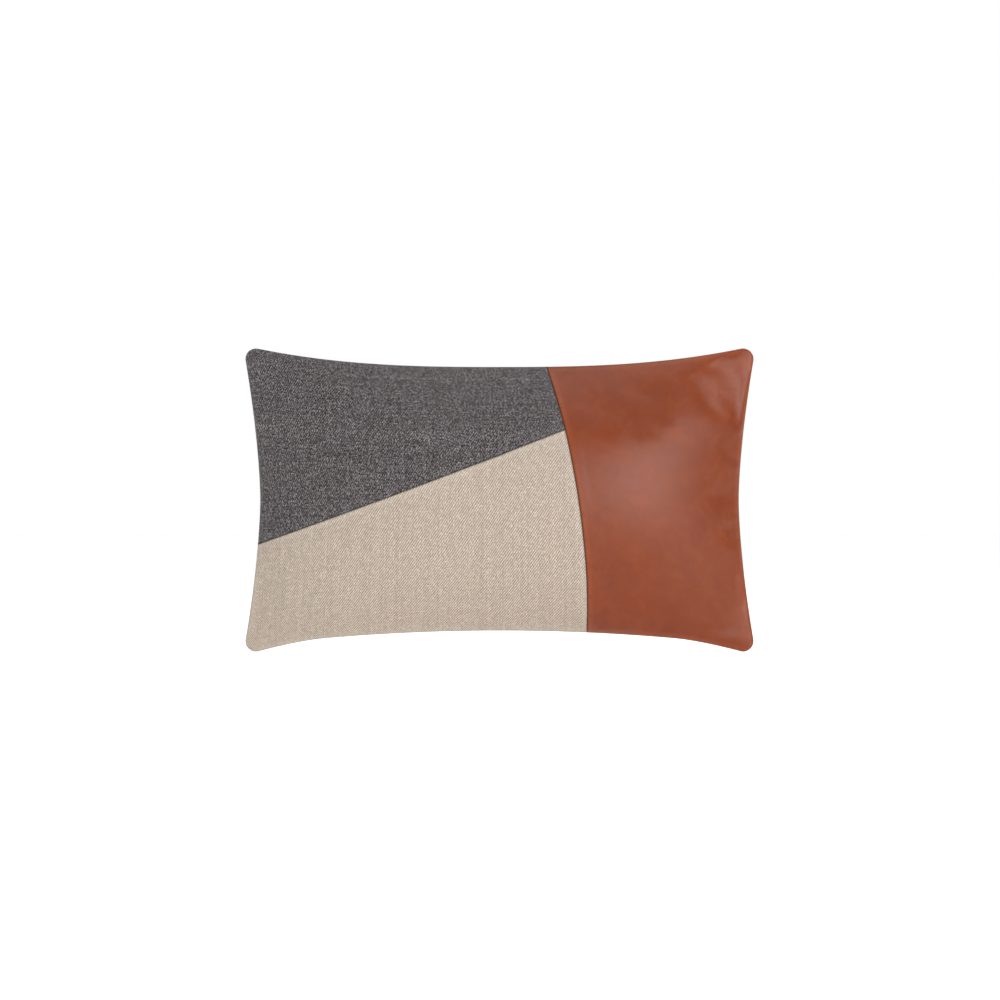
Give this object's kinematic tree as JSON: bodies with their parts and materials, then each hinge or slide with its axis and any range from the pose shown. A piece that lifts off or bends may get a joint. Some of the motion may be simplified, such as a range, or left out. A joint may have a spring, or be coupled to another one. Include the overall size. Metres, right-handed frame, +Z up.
{
  "type": "throw pillow",
  "caption": "Rectangular lumbar throw pillow with a patchwork front in dark fabric, pale fabric and tan leather, a hidden zip along the lower seam, and a fibre-filled insert.",
  "frame": {"origin": "centre of the bounding box at the floor, under the pillow's two lower corners", "axes": "+X along the width, to the right as seen from the front; the patchwork front faces -Y and the plain back +Y; +Z up, from the zipped seam to the top seam"},
  "size_m": [0.508, 0.1272, 0.303],
  "materials": {
    "charcoal_twill": "matte",
    "beige_twill": "matte",
    "tan_leather": "satin",
    "back_canvas": "matte",
    "sewing_thread": "matte",
    "zip_tape": "matte",
    "zip_coil": "satin",
    "zip_metal": "satin",
    "label_satin": "satin",
    "insert_lining": "matte",
    "polyester_fibre": "matte"
  },
  "bodies": {
    "pillow": {"charcoal_panel": "charcoal_twill", "beige_panel": "beige_twill", "leather_panel": "tan_leather", "back_panel": "back_canvas", "leather_seam_thread": "sewing_thread", "patch_seam_thread": "sewing_thread", "perimeter_seam_thread": "sewing_thread", "zip_tape_front": "zip_tape", "zip_tape_back": "zip_tape", "zip_coil_front": "zip_coil", "zip_coil_back": "zip_coil", "zip_stitching_front": "sewing_thread", "zip_stitching_back": "sewing_thread", "zip_top_stop_front": "zip_metal", "zip_top_stop_back": "zip_metal", "zip_bottom_stop": "zip_metal", "bar_tack_left": "sewing_thread", "bar_tack_right": "sewing_thread", "care_label": "label_satin", "insert_front": "insert_lining", "insert_back": "insert_lining", "insert_seam_thread": "sewing_thread", "insert_closing_stitch": "sewing_thread", "fibre_fill": "polyester_fibre"},
    "slider": {"zip_slider": "zip_metal"},
    "pull_tab": {"zip_pull_tab": "zip_metal"}
  },
  "joints": [
    {"name": "zip_travel", "type": "hinge", "parent": "pillow", "child": "slider", "pos_m": [0, 0, -1.97199], "axis": [0, -1, 0], "range_deg": [0, 8.92]},
    {"name": "tab_swing", "type": "hinge", "parent": "slider", "child": "pull_tab", "pos_m": [0.15524, 0, 0.01775], "axis": [0, -1, 0], "range_deg": [0, 160]}
  ]
}
